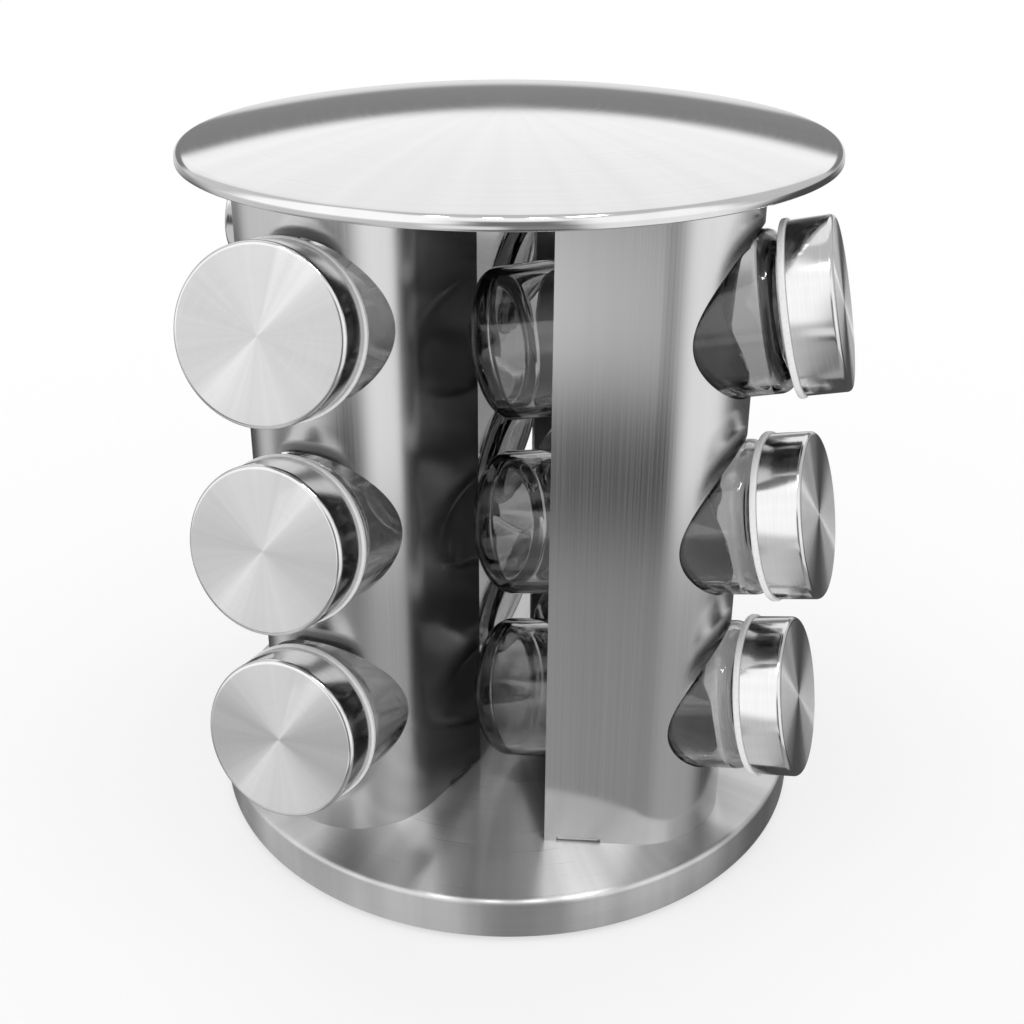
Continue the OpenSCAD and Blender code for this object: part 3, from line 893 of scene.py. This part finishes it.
def tent_cloth():
    """Glowing cloth, as bright as the tent's own values, with some white added for glass."""
    material = bpy.data.materials.new("tent_cloth")
    material.use_nodes = True
    nodes = material.node_tree.nodes
    links = material.node_tree.links
    nodes.clear()
    glow = nodes.new("ShaderNodeAttribute")
    glow.attribute_name = "glow"
    blend = nodes.new("ShaderNodeMix")
    blend.data_type = "FLOAT"
    blend.inputs["B"].default_value = 1.0
    links.new(ray_share(nodes, links, "Is Transmission Ray", GLASS_OWN_WHITE), blend.inputs["Factor"])
    links.new(glow.outputs["Fac"], blend.inputs["A"])
    shine = nodes.new("ShaderNodeEmission")
    output = nodes.new("ShaderNodeOutputMaterial")
    links.new(blend.outputs["Result"], shine.inputs["Strength"])
    links.new(shine.outputs["Emission"], output.inputs["Surface"])
    return material


def make_tent():
    """Large tent round the studio, a glowing painted reflection of the room, which shows only in
    reflections and through glass.
    """
    mesh_data = bmesh.new()
    bmesh.ops.create_uvsphere(mesh_data, u_segments=TENT_TURN_STEPS, v_segments=TENT_RISE_STEPS,
                              radius=TENT_R)
    tent = finish_mesh("studio_tent", mesh_data, 180)
    colours = tent.data.color_attributes.new("glow", "FLOAT_COLOR", "POINT")
    for index, vert in enumerate(tent.data.vertices):
        azimuth = math.degrees(math.atan2(vert.co.x, -vert.co.y)) - CAMERA_TURN
        elevation = math.degrees(math.asin(max(-1, min(1, vert.co.z / TENT_R))))
        glow = tent_light(azimuth, elevation)
        colours.data[index].color = (glow, glow, glow, 1)
    paint(tent, tent_cloth())
    tent.location = (0, 0, TENT_Z)
    tent.visible_camera = False
    tent.visible_diffuse = False
    tent.visible_volume_scatter = False
    tent.visible_shadow = False


def make_floor():
    """Plain white floor, which looks white to the camera but for a soft shadow."""
    mesh_data = bmesh.new()
    bmesh.ops.create_circle(mesh_data, cap_ends=True, cap_tris=False, segments=FLOOR_STEPS, radius=FLOOR_R)
    floor = finish_mesh("studio_floor", mesh_data, SHEET_SHARP)
    material, nodes, links, shader = new_material("floor_white")
    shader.inputs["Base Color"].default_value = (1, 1, 1, 1)
    shader.inputs["Roughness"].default_value = 0.9
    shader.inputs["Specular IOR Level"].default_value = 0.0
    white = nodes.new("ShaderNodeEmission")
    blend = nodes.new("ShaderNodeMixShader")
    links.new(ray_share(nodes, links, "Is Camera Ray", FLOOR_OWN_WHITE), blend.inputs["Fac"])
    links.new(shader.outputs["BSDF"], blend.inputs[1])
    links.new(white.outputs["Emission"], blend.inputs[2])
    links.new(blend.outputs["Shader"], nodes["Material Output"].inputs["Surface"])
    paint(floor, material)
    floor.visible_glossy = False
    floor.visible_transmission = False


def make_world():
    """Even white studio light."""
    world = bpy.data.worlds.new("studio")
    bpy.context.scene.world = world
    world.use_nodes = True
    background = world.node_tree.nodes["Background"]
    background.inputs["Color"].default_value = (1, 1, 1, 1)
    background.inputs["Strength"].default_value = 1.0
    world.cycles_visibility.glossy = False
    world.cycles_visibility.transmission = False


def aim(source, target):
    """Turn an object at source so that its -Z looks at target."""
    direction = (Vector(target) - Vector(source)).normalized()
    return direction.to_track_quat("-Z", "Y")


def add_lamp(name, place, target, size, power):
    """Round area lamp that shows only in reflections."""
    data = bpy.data.lights.new(name, "AREA")
    data.shape = "DISK"
    data.size = size
    data.energy = power
    lamp = bpy.data.objects.new(name, data)
    bpy.context.scene.collection.objects.link(lamp)
    lamp.location = place
    lamp.rotation_euler = aim(place, target).to_euler()
    lamp.visible_camera = False
    lamp.visible_diffuse = False
    lamp.visible_transmission = False


# Lamps over the camera, which show only in reflections, as blobs on the rims and streaks across the
# grooves: turns from the camera in degrees, one rise, distance and size in metres, and watts.
GLINT_TURNS = (-38, -8, 16, 37, 48)
GLINT_RISE = math.radians(66)
GLINT_DISTANCE = 2.0
GLINT_SIZE = 0.14
GLINT_POWER = 2.0


def make_lamps():
    """Row of small lamps whose glints break up the lid's rim and the base's edge."""
    for index, turn in enumerate(GLINT_TURNS):
        around = math.radians(turn + CAMERA_TURN)
        flat = GLINT_DISTANCE * math.cos(GLINT_RISE)
        place = (flat * math.sin(around), -flat * math.cos(around), GLINT_DISTANCE * math.sin(GLINT_RISE))
        add_lamp(f"glint_lamp_{index}", place, (0, 0, COLUMN_TOP * MM), GLINT_SIZE, GLINT_POWER)


def make_camera():
    """Camera at the photograph's viewing angle."""
    turn = Matrix.Rotation(math.radians(CAMERA_TURN), 3, "Z")
    yaw = math.radians(CAMERA_YAW)
    pitch = math.radians(CAMERA_PITCH)
    roll = math.radians(CAMERA_ROLL)
    ahead = Vector((math.sin(yaw) * math.cos(pitch), math.cos(yaw) * math.cos(pitch), -math.sin(pitch)))
    level = Vector((math.cos(yaw), -math.sin(yaw), 0))
    upright = level.cross(ahead)
    right = turn @ (level * math.cos(roll) + upright * math.sin(roll))
    up = turn @ (upright * math.cos(roll) - level * math.sin(roll))
    back = -(turn @ ahead)
    data = bpy.data.cameras.new("camera")
    data.sensor_width = SENSOR
    data.lens = FOCAL_PIXELS / PICTURE * SENSOR
    data.shift_x = -CENTRE_X_PIXELS / PICTURE
    data.shift_y = CENTRE_Y_PIXELS / PICTURE
    data.clip_start = 0.01
    camera = bpy.data.objects.new("camera", data)
    bpy.context.scene.collection.objects.link(camera)
    place = turn @ Vector((0, -CAMERA_BACK, CAMERA_UP)) * MM
    camera.matrix_world = Matrix((
        (right.x, up.x, back.x, place.x),
        (right.y, up.y, back.y, place.y),
        (right.z, up.z, back.z, place.z),
        (0, 0, 0, 1),
    ))
    bpy.context.scene.camera = camera


make_base_cover()
make_lid()
make_columns()
make_jars()
dress_frame_nodes()
make_tent()
make_floor()
make_world()
make_lamps()
make_camera()
bpy.context.scene.view_settings.view_transform = "Standard"
